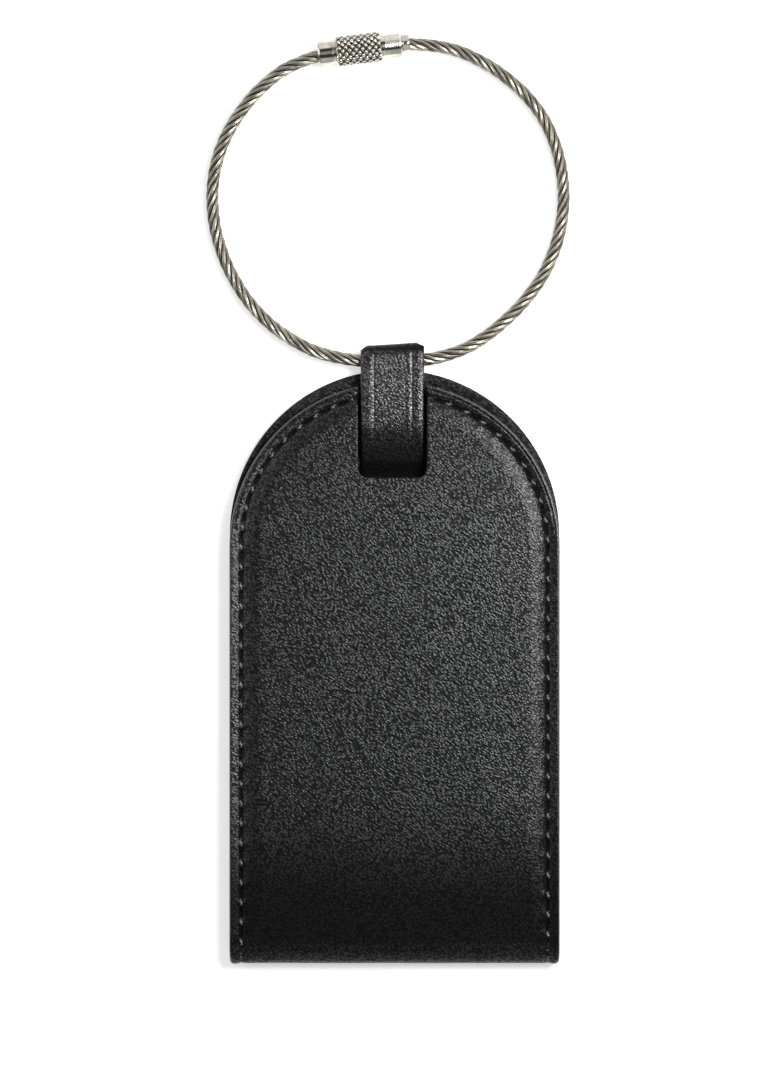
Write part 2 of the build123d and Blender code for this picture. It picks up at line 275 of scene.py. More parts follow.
def metal(name, colour, rough, scratch_mm=0.15, depth_mm=0.004):
    """Metal with fine drawn or turned marks and slight tarnish."""
    mat, tree, bsdf = material(name)
    place = object_place(tree)
    marks = noise_at(tree, place, 1000 / scratch_mm, 3.0, 0.6)
    cloud = noise_at(tree, place, 400.0, 3.0)
    bump(tree, bsdf, marks, 0.6, depth_mm)
    darker = tuple(c * 0.72 for c in colour)
    fill(tree, bsdf, {
        "Base Color": ramp(tree, cloud, [(0.35, darker), (0.6, colour)]),
        "Roughness": mapped(tree, cloud, rough + 0.08, rough - 0.04),
        "Metallic": 1.0,
    })
    return mat


def plain(name, colour, rough, grain_mm, depth_mm, specular=0.5):
    """Matt stuff with a fine irregular surface: board, paper or thread."""
    mat, tree, bsdf = material(name)
    grain = noise_at(tree, object_place(tree), 1000 / grain_mm, 4.0, 0.65)
    bump(tree, bsdf, grain, 0.8, depth_mm)
    darker = tuple(c * 0.75 for c in colour)
    fill(tree, bsdf, {
        "Base Color": ramp(tree, grain, [(0.3, darker), (0.7, colour)]),
        "Roughness": rough,
        "Specular IOR Level": specular,
    })
    return mat


def clear_film(name, rough, ripple_mm, depth_mm):
    """Clear plastic sheet with slow ripples and a few dull patches."""
    mat, tree, bsdf = material(name)
    ripple = noise_at(tree, object_place(tree), 1000 / ripple_mm, 2.0)
    bump(tree, bsdf, ripple, 0.5, depth_mm)
    fill(tree, bsdf, {
        "Base Color": ramp(tree, ripple, [(0.3, grey(0.95)), (0.7, grey(0.99))]),
        "Roughness": mapped(tree, ripple, rough, rough + 0.08),
        "Transmission Weight": 1.0,
        "IOR": 1.25,
    })
    return mat


# ---- camera, floor and light ----
CAMERA_X = -1.79
CAMERA_Y = 22.7
CAMERA_DISTANCE = 1000.0
VIEW_HEIGHT = 201.1
SENSOR = 36.0
FLOOR_GLOW = 0.49
WORLD_LIGHT = 0.02


def make_camera():
    """Straight down on the tag, with the ring at the top of the picture."""
    data = bpy.data.cameras.new("camera")
    data.sensor_fit = "VERTICAL"
    data.sensor_height = SENSOR
    data.lens = SENSOR * CAMERA_DISTANCE / VIEW_HEIGHT
    data.clip_start = 0.01
    camera = new_object("camera", data)
    camera.location = (CAMERA_X * MM, CAMERA_Y * MM, CAMERA_DISTANCE * MM)
    bpy.context.scene.camera = camera


def softbox(name, place, target, size, watts, spread=180):
    data = bpy.data.lights.new(name, "AREA")
    data.spread = math.radians(spread)
    data.shape = "RECTANGLE"
    data.size, data.size_y = size
    data.energy = watts
    lamp = new_object(name, data)
    lamp.location = place
    aim = Vector(target) - Vector(place)
    lamp.rotation_euler = aim.to_track_quat("-Z", "Y").to_euler()


def make_stage():
    scene = bpy.context.scene
    scene.view_settings.view_transform = "Standard"
    half = 3.0
    corners = [(-half, -half, 0), (half, -half, 0), (half, half, 0), (-half, half, 0)]
    mesh = bpy.data.meshes.new("floor")
    mesh.from_pydata(corners, [], [(0, 1, 2, 3)])
    floor = new_object("floor", mesh)
    mat, tree, bsdf = material("pale_floor")
    fill(tree, bsdf, {
        "Base Color": (0.93, 0.93, 0.93, 1),
        "Roughness": 0.9,
        "Specular IOR Level": 0.1,
        "Emission Color": (1, 1, 1, 1),
        "Emission Strength": FLOOR_GLOW,
    })
    mesh.materials.append(mat)
    world = bpy.data.worlds.new("studio")
    world.use_nodes = True
    background = world.node_tree.nodes["Background"]
    fill(world.node_tree, background, {"Color": (1, 1, 1, 1), "Strength": WORLD_LIGHT})
    scene.world = world
    softbox("key", (0.36, 0.42, 0.62), (0.0, 0.03, 0), (0.45, 0.45), 0.5)
    softbox("sheen", (0.16, 0.095, 0.33), (0.02, 0.02, 0), (0.15, 0.15), 0.29, spread=90)
    softbox("left", (-0.50, 0.20, 0.42), (0, 0, 0), (0.6, 0.6), 1.55)
    softbox("rear", (0.0, 0.75, 0.36), (0, 0, 0), (0.9, 0.7), 1.8)
    softbox("front", (0.05, -0.75, 0.36), (0, 0, 0), (0.9, 0.7), 1.1)
    softbox("right", (0.80, -0.1, 0.42), (0, 0, 0), (0.5, 0.9), 0.4)
    softbox("overhead", (0, 0.02, 1.25), (0, 0.02, 0), (0.5, 0.5), 0.2)


# ---- wire rope ----
ROPE_DIAMETER = 2.4
CLASP_CENTRE = (-5.85, 113.83, 2.95)
CLASP_TILT = math.radians(7.0)
CLASP_AXIS = np.array([math.cos(CLASP_TILT), math.sin(CLASP_TILT), 0.0])
ROPE_LAY = 13.0            # length of one turn of a strand round the rope
ROPE_STEP = 0.36           # length of a face along the rope
STRANDS = 6
STRAND_RADIUS = 0.42
STRAND_SIDES = 30
WIRES = 6                  # wires that show on one strand
WIRE_DEPTH = 0.30          # a groove between wires, as a share of the strand's radius
WIRE_TWIST = 0.7
VALLEY = 0.22              # faces more turns from a strand's crown than this are shaded
WIRE_GROOVE = 0.38         # so are faces with less of a wire's crown than this


def on_clasp(s):
    """A point at a distance along the clasp's axis from its centre."""
    return np.array(CLASP_CENTRE) + s * CLASP_AXIS


ROPE_ROUTE = [
    on_clasp(-3), on_clasp(-12.5), (-28.4, 103.7, 2.2), (-34.1, 92.9, 1.6), (-34.5, 80.9, 1.3),
    (-30.2, 69.4, 1.4), (-22.6, 60.6, 2.2), (-11.2, 54.9, 3.0), (9.8, 54.9, 3.0),
    (21.8, 62.7, 2.2), (30.2, 73.9, 1.4), (32.6, 87.9, 1.3), (28.6, 101.6, 1.7),
    (18.4, 111.0, 2.4), on_clasp(12.5), on_clasp(3),
]


def route_line(route):
    """Points, in millimetres, of the smooth curve that the route's points control."""
    data = bpy.data.curves.new("route", "CURVE")
    data.dimensions = "3D"
    data.resolution_u = 40
    spline = data.splines.new("NURBS")
    spline.points.add(len(route) - 1)
    for point, place in zip(spline.points, route):
        point.co = (*(c * MM for c in place), 1)
    spline.order_u = 3
    spline.use_endpoint_u = True
    obj = new_object("route", data)
    bpy.context.view_layer.update()
    mesh = bpy.data.meshes.new_from_object(obj)
    points = np.array([v.co for v in mesh.vertices]) / MM
    bpy.data.meshes.remove(mesh)
    bpy.data.objects.remove(obj)
    return points


def respaced(points, step):
    """The same line with points a steady step apart."""
    lengths = np.linalg.norm(np.diff(points, axis=0), axis=1)
    along = np.concatenate([[0], np.cumsum(lengths)])
    even = np.linspace(0, along[-1], round(along[-1] / step) + 1)
    return np.stack([np.interp(even, along, points[:, k]) for k in range(3)], axis=1), even


def line_frames(points):
    """Tangents and two side directions that don't spin about the line."""
    tangents = np.gradient(points, axis=0)
    tangents /= np.linalg.norm(tangents, axis=1)[:, None]
    side = np.cross(tangents[0], (0, 0, 1))
    sides = []
    for tangent in tangents:
        side = side - tangent * np.dot(side, tangent)
        side = side / np.linalg.norm(side)
        sides.append(side)
    sides = np.array(sides)
    return tangents, sides, np.cross(tangents, sides)


def wire_crown(phase, turn):
    """How near a point round a strand is to a wire's crown: 1 on it, 0 between two wires."""
    return np.abs(np.cos(WIRES / 2 * (phase + WIRE_TWIST * turn)))


def shade_rope(mesh, turn):
    """Paints shade on the steel deep between the strands and between their wires."""
    phase = TURN * np.arange(STRAND_SIDES) / STRAND_SIDES
    from_crown = np.tile(0.5 - np.abs(phase / TURN - 0.5), STRANDS * len(turn))
    on_wire = np.tile(wire_crown(phase, turn[:, None]).ravel(), STRANDS)
    corners = np.array([p.vertices[:] for p in mesh.polygons])
    shaded = from_crown[corners].max(axis=1) > VALLEY
    shaded |= on_wire[corners].mean(axis=1) < WIRE_GROOVE
    use_second_material(mesh, shaded)


def make_rope():
    """Six strands laid right-handed round a core; each strand's wires lie along the rope."""
    line, along = respaced(route_line(ROPE_ROUTE), ROPE_STEP)
    tangents, sides, ups = line_frames(line)
    turn = TURN * along / ROPE_LAY
    offset = ROPE_DIAMETER / 2 - STRAND_RADIUS
    parts = []
    for k in range(STRANDS):
        angle = TURN * k / STRANDS + turn
        out = np.cos(angle)[:, None] * sides + np.sin(angle)[:, None] * ups
        swing = np.cross(tangents, out)
        centre = line + offset * out
        rings = []
        for a in range(STRAND_SIDES):
            phase = TURN * a / STRAND_SIDES
            flute = 1 - WIRE_DEPTH * (1 - wire_crown(phase, turn))
            spoke = math.cos(phase) * out + math.sin(phase) * swing
            rings.append(centre + STRAND_RADIUS * flute[:, None] * spoke)
        verts = np.stack(rings, axis=1).reshape(-1, 3)
        parts.append((verts, ring_faces(len(line), STRAND_SIDES)))
    rope = new_piece(
        "rope_strands", *join(parts), 60, "rope_steel",
        metal("rope_steel", (0.52, 0.49, 0.41), 0.28, 0.2, 0.004),
        # The second material is painted shade for the grooves between strands and wires.
        metal("rope_shade", (0.10, 0.092, 0.07), 0.45, 0.2, 0.01),
    )
    shade_rope(rope.data, turn)
    return rope, line


# ---- leather panels: a flat pattern, then folded and raised ----
BACK = -1
FLAP = 1
ARCH_Y = {BACK: BACK_ARCH_Y, FLAP: FLAP_ARCH_Y}
PATTERN_END = FOLD_Y - FOLD_HALF
SEAM_RADIUS = HALF_WIDTH - SEAM
SEAM_ARCH = math.pi * SEAM_RADIUS
FOLD_HEIGHT = 2.0
CORNER_RADIUS = 1.2
BAND_TILT = 0.27
CREST_PLACE = 0.3
FOLD_REACH = MIDDLE_Z - FOLD_HEIGHT
SLOPE_LENGTH = 24.0        # a panel rises to its full height over this length above the fold
PUFF_START = 0.1           # the padded middle rises from here to PUFF_WIDTH inside the seam
PUFF_WIDTH = 3.3
PUFF_POWER = 1.75
PILLOW_HEIGHT = 0.12       # the leather swells beside each stitch's crest
SEAM_DIP = 0.12            # the seam lies in a dip, with a hole between two crests
HOLE_DEPTH = 0.40
LINING_DIP = 0.12          # the lining's own dip and holes under the seam
LINING_HOLE = 0.18
ARCH_LINE = 0.75           # a pressed line follows the arch this far in from its edge
ARCH_LINE_DEPTH = 0.11
WAVE_HEIGHT = 0.05         # slow unevenness of the padded middle
WAVE_LENGTH = 14.0
FOLD_ROWS_ABOVE = 3.0      # close rows of points go this far up from the fold
FOLD_ROW_STEP = 0.35
FOLD_COLUMN_STEP = 1.2
FOLD_ROW_GAP = 0.5
OUTER_EDGE = (0.40, 0.34)  # radius and depth of an edge's rounding
NOTCH_EDGE = (0.25, 0.18)
LINING_EDGE = (0.25, 0.15)
SEWN_EDGE = (0.2, 0.12)


def inset_of(x, v, arch_y):
    """Distance in from the sides and the arch; it is negative outside."""
    return HALF_WIDTH - np.where(v > arch_y, np.hypot(x, v - arch_y), np.abs(x))


def seam_length(arch_y):
    return 2 * (arch_y - FOLD_Y) + SEAM_ARCH


def seam_pitch(arch_y):
    return seam_length(arch_y) / round(seam_length(arch_y) / PITCH)


def seam_place(x, v, arch_y):
    """Distance along the seam: up the left side, round the arch and down the right side."""
    side = arch_y - FOLD_Y
    arch = SEAM_RADIUS * (math.pi - np.arctan2(np.maximum(v - arch_y, 0), x))
    down = 2 * side + SEAM_ARCH - (v - FOLD_Y)
    return np.where(v > arch_y, side + arch, np.where(x < 0, v - FOLD_Y, down))


def seam_point(along, inset, arch_y):
    """The place on the pattern at a distance along the seam and an inset from the edge."""
    side = arch_y - FOLD_Y
    radius = HALF_WIDTH - inset
    if along < side:
        return -radius, FOLD_Y + along
    if along > side + SEAM_ARCH:
        return radius, FOLD_Y + 2 * side + SEAM_ARCH - along
    turn = math.pi - (along - side) / SEAM_RADIUS
    return radius * math.cos(turn), arch_y + radius * math.sin(turn)


def box_gap(out_x, out_v):
    """Distance from a box, given how far a point is past its sides; it is negative inside."""
    outside = np.hypot(np.maximum(out_x, 0), np.maximum(out_v, 0))
    return outside + np.minimum(np.maximum(out_x, out_v), 0)


def notch_gap(x, v):
    """Distance from the notch's edge; it is negative inside the notch."""
    out_x = np.abs(x - NOTCH_X) - (NOTCH_HALF - NOTCH_CORNER)
    return box_gap(out_x, NOTCH_BOTTOM + NOTCH_CORNER - v) - NOTCH_CORNER


def slot_gap(x, v):
    """Distance from the strap's slot in the back lining; it is negative inside the slot."""
    out_v = np.abs(v - (SLOT_LOW + SLOT_HIGH) / 2) - (SLOT_HIGH - SLOT_LOW) / 2
    return box_gap(np.abs(x - STRAP_X) - SLOT_HALF, out_v)


def nothing_cut(x, v):
    return np.full(np.shape(x), 1000.0)


def folded(x, v, height, side):
    """A pattern point at a height off the middle plane, with the fold's part turned round."""
    turn = np.clip((FOLD_Y - v) / FOLD_RADIUS, 0, math.pi / 2)
    y = np.where(v < FOLD_Y, FOLD_Y - (height + FOLD_REACH) * np.sin(turn), v)
    z = MIDDLE_Z + side * height * np.cos(turn)
    return np.stack([x, y, z], axis=1)


def straight(a, b, count):
    """Evenly spaced points from a to b; b itself is left out."""
    return [
        (a[0] + (b[0] - a[0]) * i / count, a[1] + (b[1] - a[1]) * i / count)
        for i in range(count)
    ]


def notch_turn(x, v, start, count):
    """Points on a corner of the notch, clockwise through a quarter turn."""
    angles = [start - math.pi / 2 * i / count for i in range(count)]
    return [(x + NOTCH_CORNER * math.cos(a), v + NOTCH_CORNER * math.sin(a)) for a in angles]


def traced_edge(arch_y, cut, step):
    """The pattern's outline as a closed loop; where the notch opens it, it follows the notch."""
    low_left, low_right = (-HALF_WIDTH, PATTERN_END), (HALF_WIDTH, PATTERN_END)
    side_steps = round((arch_y - PATTERN_END) / step)
    loop = straight(low_left, low_right, round(2 * HALF_WIDTH / step))
    loop += straight(low_right, (HALF_WIDTH, arch_y), side_steps)
    arch_steps = round(math.pi * HALF_WIDTH / step)
    turns = [math.pi * i / arch_steps for i in range(arch_steps)]
    arch = [(HALF_WIDTH * math.cos(a), arch_y + HALF_WIDTH * math.sin(a)) for a in turns]
    if cut is notch_gap:
        clear = NOTCH_HALF + 0.3 * step
        right = [p for p in arch if p[0] > NOTCH_X + clear]
        left = [p for p in arch if p[0] < NOTCH_X - clear]
        arch = right + notch_edge(arch_y, step) + left
    return loop + arch + straight((-HALF_WIDTH, arch_y), low_left, side_steps)


def notch_edge(arch_y, step):
    """The notch's edge from its right lip, down and round, to its left lip."""
    def lip(x):
        return arch_y + math.sqrt(HALF_WIDTH**2 - x**2)

    right, left = NOTCH_X + NOTCH_HALF, NOTCH_X - NOTCH_HALF
    low = NOTCH_BOTTOM + NOTCH_CORNER
    turn_right, turn_left = right - NOTCH_CORNER, left + NOTCH_CORNER
    turns = max(4, round(NOTCH_CORNER * math.pi / 2 / step))
    bottom_steps = round((turn_right - turn_left) / step)
    points = straight((right, lip(right)), (right, low), round((lip(right) - low) / step))
    points += notch_turn(turn_right, low, 0, turns)
    points += straight((turn_right, NOTCH_BOTTOM), (turn_left, NOTCH_BOTTOM), bottom_steps)
    points += notch_turn(turn_left, low, -math.pi / 2, turns)
    points += straight((left, low), (left, lip(left)), round((lip(left) - low) / step))
    return points + [(left, lip(left))]


def slot_edge(step):
    """The slot's edge as a closed loop."""
    corners = [
        (-SLOT_HALF, SLOT_LOW), (SLOT_HALF, SLOT_LOW),
        (SLOT_HALF, SLOT_HIGH), (-SLOT_HALF, SLOT_HIGH),
    ]
    points = []
    for a, b in zip(corners, corners[1:] + corners[:1]):
        count = max(1, round(math.dist(a, b) / step))
        points += [(STRAP_X + x, v) for x, v in straight(a, b, count)]
    return points


def cut_rows(cut, offsets, step, arch_y):
    """Points in rows that follow a cut's edge at each offset from it."""
    if cut is nothing_cut:
        return []
    base = notch_edge(arch_y, step) if cut is notch_gap else slot_edge(step)
    nudge = 0.01
    points = []
    for offset in offsets:
        for x, v in base:
            slope = np.array([
                float(cut(x + nudge, v) - cut(x - nudge, v)),
                float(cut(x, v + nudge) - cut(x, v - nudge)),
            ])
            slope /= max(np.linalg.norm(slope), 1e-9)
            points.append((x + slope[0] * offset, v + slope[1] * offset))
    return points


def edge_rows(arch_y, step, insets):
    """Points in rows that follow the sides and the arch at each inset."""
    points = []
    count = round(seam_length(arch_y) * HALF_WIDTH / SEAM_RADIUS / step)
    fold_rows = round(FOLD_HALF / step)
    for inset in insets:
        for i in range(count + 1):
            points.append(seam_point(seam_length(arch_y) * i / count, inset, arch_y))
        for i in range(fold_rows):
            v = PATTERN_END + FOLD_HALF * i / fold_rows
            points += [(-HALF_WIDTH + inset, v), (HALF_WIDTH - inset, v)]
    return points


def fold_rows_across(widest):
    """Close rows across the panel where it turns round the fold."""
    points = []
    span = HALF_WIDTH - widest - FOLD_ROW_GAP
    count = round(2 * span / FOLD_COLUMN_STEP)
    for i in range(round((FOLD_HALF + FOLD_ROWS_ABOVE) / FOLD_ROW_STEP)):
        v = PATTERN_END + FOLD_ROW_STEP * i
        points += [(-span + 2 * span * k / count, v) for k in range(count + 1)]
    return points


def middle_rows(arch_y, widest, coarse):
    """A coarse triangular grid over the panel's middle."""
    points = []
    row = 0
    v = FOLD_Y + FOLD_ROWS_ABOVE + coarse / 2
    while v < arch_y + HALF_WIDTH:
        shift = coarse / 2 * (row % 2)
        xs = np.arange(-HALF_WIDTH + shift, HALF_WIDTH, coarse)
        points += [(x, v) for x in xs if inset_of(x, v, arch_y) > widest + 0.4 * coarse]
        v += coarse * 0.866
        row += 1
    return points


def pattern_mesh(arch_y, cut, step, insets, cut_offsets, coarse):
    """Points and triangles that fill a panel's pattern."""
    loops = [traced_edge(arch_y, cut, step)]
    if cut is slot_gap:
        loops.append(slot_edge(step))
    widest = max(insets)
    fine = edge_rows(arch_y, step, insets) + fold_rows_across(widest)
    fine = np.array(fine + middle_rows(arch_y, widest, coarse))
    keep = cut(fine[:, 0], fine[:, 1]) > (max(cut_offsets) + 0.1 if cut_offsets else 0)
    keep &= (inset_of(fine[:, 0], fine[:, 1], arch_y) > 0.01) & (fine[:, 1] > PATTERN_END)
    fine = fine[keep]
    rows = np.array(cut_rows(cut, cut_offsets, step, arch_y)).reshape(-1, 2)
    if len(rows):
        rows = rows[inset_of(rows[:, 0], rows[:, 1], arch_y) > 0.05]
    points = []
    edges = []
    for loop in loops:
        start = len(points)
        points += loop
        edges += [(start + i, start + (i + 1) % len(loop)) for i in range(len(loop))]
    points = np.concatenate([np.array(points), rows, fine])
    out = geometry.delaunay_2d_cdt([Vector(p) for p in points], edges, [], 0, 1e-5)
    points = np.array([tuple(p) for p in out[0]])
    triangles = np.array(out[2])
    middle = points[triangles].mean(axis=1)
    inside = inset_of(middle[:, 0], middle[:, 1], arch_y) > -0.02
    inside &= (cut(middle[:, 0], middle[:, 1]) > 0) & (middle[:, 1] > PATTERN_END)
    return points, triangles[inside]


def open_edges(triangles):
    """The edges that only one triangle uses, in that triangle's direction."""
    used = {}
    for a, b, c in triangles:
        for e in ((a, b), (b, c), (c, a)):
            used[e] = True
    return [e for e in used if (e[1], e[0]) not in used]


def shell_from_pattern(points, triangles, outer, inner, side):
    """A closed sheet: the pattern at its outer and inner heights, with walls between."""
    x, v = points[:, 0], points[:, 1]
    count = len(points)
    verts = np.concatenate([folded(x, v, height, side) for height in (outer, inner)])
    faces = [tuple(t) for t in triangles]
    faces += [(c + count, b + count, a + count) for a, b, c in triangles]
    faces += [(b, a, a + count, b + count) for a, b in open_edges(triangles)]
    if side == BACK:
        faces = [tuple(reversed(f)) for f in faces]
    return verts, faces


def rounded_drop(gap, radius, depth):
    """How far an edge's rounding lowers the surface at a distance from that edge."""
    t = np.clip(1 - gap / radius, 0, 1)
    return depth * (1 - np.sqrt(np.maximum(1 - t * t, 0)))


def slow_noise(x, v, size, seed):
    return np.array([
        noise.noise(Vector((a / size, b / size, seed))) for a, b in zip(x, v)
    ])


def rise_from_fold(v):
    """The share of the panel's puff: none at the fold, all of it higher up."""
    t = np.clip((v - FOLD_Y + 1.5) / SLOPE_LENGTH, 0, 1)
    return 1 - (1 - t) ** 2


def outer_heights(x, v, side, cut):
    """The outer leather's face: band, sewn groove with holes, and puffed middle."""
    arch_y = ARCH_Y[side]
    inset = inset_of(x, v, arch_y)
    pitch = seam_pitch(arch_y)
    from_crest = (seam_place(x, v, arch_y) / pitch - CREST_PLACE + 0.5) % 1.0
    from_crest = (from_crest - 0.5) * pitch
    from_seam = inset - SEAM
    flat = smooth((v - FOLD_Y + 1.0) / 3.5)
    t = np.clip((from_seam - PUFF_START) / PUFF_WIDTH, 0, 1)
    puff = 1 - (1 - t) ** PUFF_POWER
    near_fold = rise_from_fold(v)
    band = FOLD_HEIGHT + (RIM_HEIGHT - FOLD_HEIGHT) * flat
    top = FOLD_HEIGHT + (PUFF_HEIGHT - FOLD_HEIGHT) * near_fold
    height = band + (top - band) * puff
    height += BAND_TILT * (1 - smooth(inset / SEAM))
    crest = bell(from_crest, 0.75)
    height += PILLOW_HEIGHT * crest * bell(from_seam - 0.8, 0.55)
    groove = ARCH_LINE_DEPTH * bell(inset - ARCH_LINE, 0.12) * smooth((v - arch_y) / 8)
    groove += SEAM_DIP * bell(from_seam, 0.3)
    groove += (1 - crest) * (0.06 * bell(from_seam, 0.6) + HOLE_DEPTH * bell(from_seam, 0.22))
    height -= groove * (0.25 + 0.75 * flat)
    height += WAVE_HEIGHT * slow_noise(x, v, WAVE_LENGTH, 3.0 * side) * puff
    corner = 1 - smooth((v - FOLD_Y + FOLD_HALF) / (FOLD_HALF + 1.0))
    height -= rounded_drop(inset, *OUTER_EDGE) * (1 - corner)
    height -= rounded_drop(inset, CORNER_RADIUS, 0.9 * CORNER_RADIUS) * corner
    if cut is notch_gap:
        height -= rounded_drop(notch_gap(x, v), *NOTCH_EDGE)
    return np.minimum(height, PUFF_HEIGHT) if side == BACK else height


def inner_heights(x, v, side):
    """The outer leather's hidden face, a leather's thickness below the smooth outer one."""
    inset = inset_of(x, v, ARCH_Y[side])
    puff = smooth((inset - SEAM) / 2.0)
    top = FOLD_HEIGHT + (PUFF_HEIGHT - FOLD_HEIGHT) * rise_from_fold(v)
    return RIM_HEIGHT + (top - RIM_HEIGHT) * puff - LEATHER


OUTER_INSETS = [
    0.05, 0.11, 0.19, 0.29, 0.42, 0.55, 0.66, 0.75, 0.84, 0.95, 1.12, 1.35, 1.58, 1.78, 1.95, 2.1,
    2.25, 2.4, 2.55, 2.72, 2.92, 3.15, 3.42, 3.75, 4.15, 4.6, 5.1, 5.7, 6.4,
]
LINING_INSETS = [0.1, 0.25, 0.6, 1.1, 1.6, 1.95, 2.2, 2.45, 2.9, 3.6, 4.6]
NOTCH_OFFSETS = [0.08, 0.18, 0.32, 0.5, 0.7, 0.95, 1.3, 1.7]
LINING_OFFSETS = [0.12, 0.3, 0.7]
OUTER_STEP = 0.3           # spacing of the points along an edge, and over the middle
OUTER_COARSE = 1.7
LINING_STEP = 0.45
LINING_COARSE = 3.0
THINNEST_LEATHER = 0.25
OUTER_PAINT = 0.3          # width of the painted edge
LINING_PAINT = 0.15


def paint_edges(mesh, gap, width):
    """Paints the faces nearer than width to a cut edge; the sheet's two sides share gap."""
    count = len(gap)
    painted = [max(gap[i % count] for i in p.vertices) < width for p in mesh.polygons]
    use_second_material(mesh, painted)


def make_outer_leather(side, finish, paint):
    """Outer leather with painted edges; the flap's has the clasp's notch cut in it."""
    cut = notch_gap if side == FLAP else nothing_cut
    offsets = NOTCH_OFFSETS if side == FLAP else []
    points, triangles = pattern_mesh(
        ARCH_Y[side], cut, OUTER_STEP, OUTER_INSETS, offsets, OUTER_COARSE
    )
    x, v = points[:, 0], points[:, 1]
    outer = outer_heights(x, v, side, cut)
    inner = np.minimum(inner_heights(x, v, side), outer - THINNEST_LEATHER)
    name = "flap_leather" if side == FLAP else "back_leather"
    shell = shell_from_pattern(points, triangles, outer, inner, side)
    obj = new_piece(name, *shell, 42, "outer_leather", finish, paint)
    paint_edges(obj.data, inset_of(x, v, ARCH_Y[side]), OUTER_PAINT)
    return obj


def make_lining(side, finish, paint):
    """Thin lining leather: its sewn edge shows under the outer leather's edge."""
    arch_y = ARCH_Y[side]
    cut = notch_gap if side == FLAP else slot_gap
    points, triangles = pattern_mesh(
        arch_y, cut, LINING_STEP, LINING_INSETS, LINING_OFFSETS, LINING_COARSE
    )
    x, v = points[:, 0], points[:, 1]
    inset = inset_of(x, v, arch_y)
    to_hole = seam_place(x, v, arch_y) % seam_pitch(arch_y)
    to_hole = np.minimum(to_hole, seam_pitch(arch_y) - to_hole)
    free = np.full(len(x), LINING_FACE)
    dip = LINING_DIP * bell(inset - SEAM, 0.45)
    free += dip + LINING_HOLE * bell(inset - SEAM, 0.4) * bell(to_hole, 0.6)
    free += rounded_drop(inset, *LINING_EDGE) + rounded_drop(cut(x, v), *LINING_EDGE)
    sewn = np.full(len(x), LAYER_FACE)
    sewn -= rounded_drop(inset, *SEWN_EDGE)
    name = "flap_lining" if side == FLAP else "back_lining_sheet"
    shell = shell_from_pattern(points, triangles, sewn, free, side)
    obj = new_piece(name, *shell, 42, "lining_leather", finish, paint)
    paint_edges(obj.data, inset, LINING_PAINT)
    return obj


def join_fold(obj, side):
    """Bakes the piece's placement into its mesh; the back and the flap are treated alike.
    """
    if side == BACK:
        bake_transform(obj)
    else:
        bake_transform(obj)


# ---- stitches; heights are from the tag's middle plane, like the leather's ----
PLY_RADIUS = 0.16
PLY_OFFSET = 0.14
PLY_TURNS = 3.0
PLY_SIDES = 6
STITCH_ENDS = (0.02, 0.98)     # a stitch starts and ends just inside its holes
STITCH_CREST = RIM_HEIGHT + 0.06
STITCH_SINK = 1.1
LINING_CREST = LINING_FACE + 0.32
LINING_SINK = 0.95
CREST_LENGTH = 0.16            # as a share of the pitch
CREST_LEAN = 0.16
CREST_SHIFT = 0.02
STITCH_SAMPLES = 17
FOLD_CREST = RIM_HEIGHT - 0.45
FOLD_SINK = 1.3
FOLD_SAMPLES = 13


def thread_run(points):
    """Two plies twisted round a short line of points; the ends dip with the line."""
    tangents, sides, ups = line_frames(points)
    parts = []
    for ply in (0, 1):
        angle = np.linspace(0, TURN * PLY_TURNS, len(points)) + math.pi * ply
        twist = np.cos(angle)[:, None] * sides + np.sin(angle)[:, None] * ups
        centre = points + PLY_OFFSET * twist
        phases = [TURN * a / PLY_SIDES for a in range(PLY_SIDES)]
        rings = [centre + PLY_RADIUS * (math.cos(a) * sides + math.sin(a) * ups) for a in phases]
        verts = np.stack(rings, axis=1).reshape(-1, 3)
        faces = ring_faces(len(points), PLY_SIDES)
        faces.append(tuple(reversed(range(PLY_SIDES))))
        faces.append(tuple(range((len(points) - 1) * PLY_SIDES, len(points) * PLY_SIDES)))
        parts.append((verts, faces))
    return parts


def stitch_line(along, arch_y, side, crest, sink):
    """One stitch from hole to hole: a short slanted crest, the rest pulled into the leather."""
    pitch = seam_pitch(arch_y)
    t = np.linspace(*STITCH_ENDS, STITCH_SAMPLES)
    from_crest = t - CREST_PLACE
    heights = sink + (crest - sink) * np.exp(-((from_crest / CREST_LENGTH) ** 4))
    lean = CREST_SHIFT - CREST_LEAN * np.clip(from_crest / 0.2, -1, 1)
    places = [seam_point(along + pitch * k, SEAM + dy, arch_y) for k, dy in zip(t, lean)]
    x = np.array([p[0] for p in places])
    v = np.array([p[1] for p in places])
    return folded(x, v, heights, side)


def make_stitches(side, finish):
    """The seam's thread on the outer leather and on the lining's free face."""
    arch_y = ARCH_Y[side]
    pitch = seam_pitch(arch_y)
    parts = []
    for i in range(round(seam_length(arch_y) / pitch)):
        x, v = seam_point((i + 0.5) * pitch, SEAM, arch_y)
        middle = NOTCH_X if side == FLAP else STRAP_X
        if v > arch_y and abs(x - middle) < NOTCH_HALF + 0.75 * pitch:
            continue
        parts += thread_run(stitch_line(i * pitch, arch_y, side, STITCH_CREST, STITCH_SINK))
        parts += thread_run(stitch_line(i * pitch, arch_y, side, LINING_CREST, LINING_SINK))
    name = "flap_seam_thread" if side == FLAP else "back_seam_thread"
    return new_piece(name, *join(parts), 60, "thread", finish)


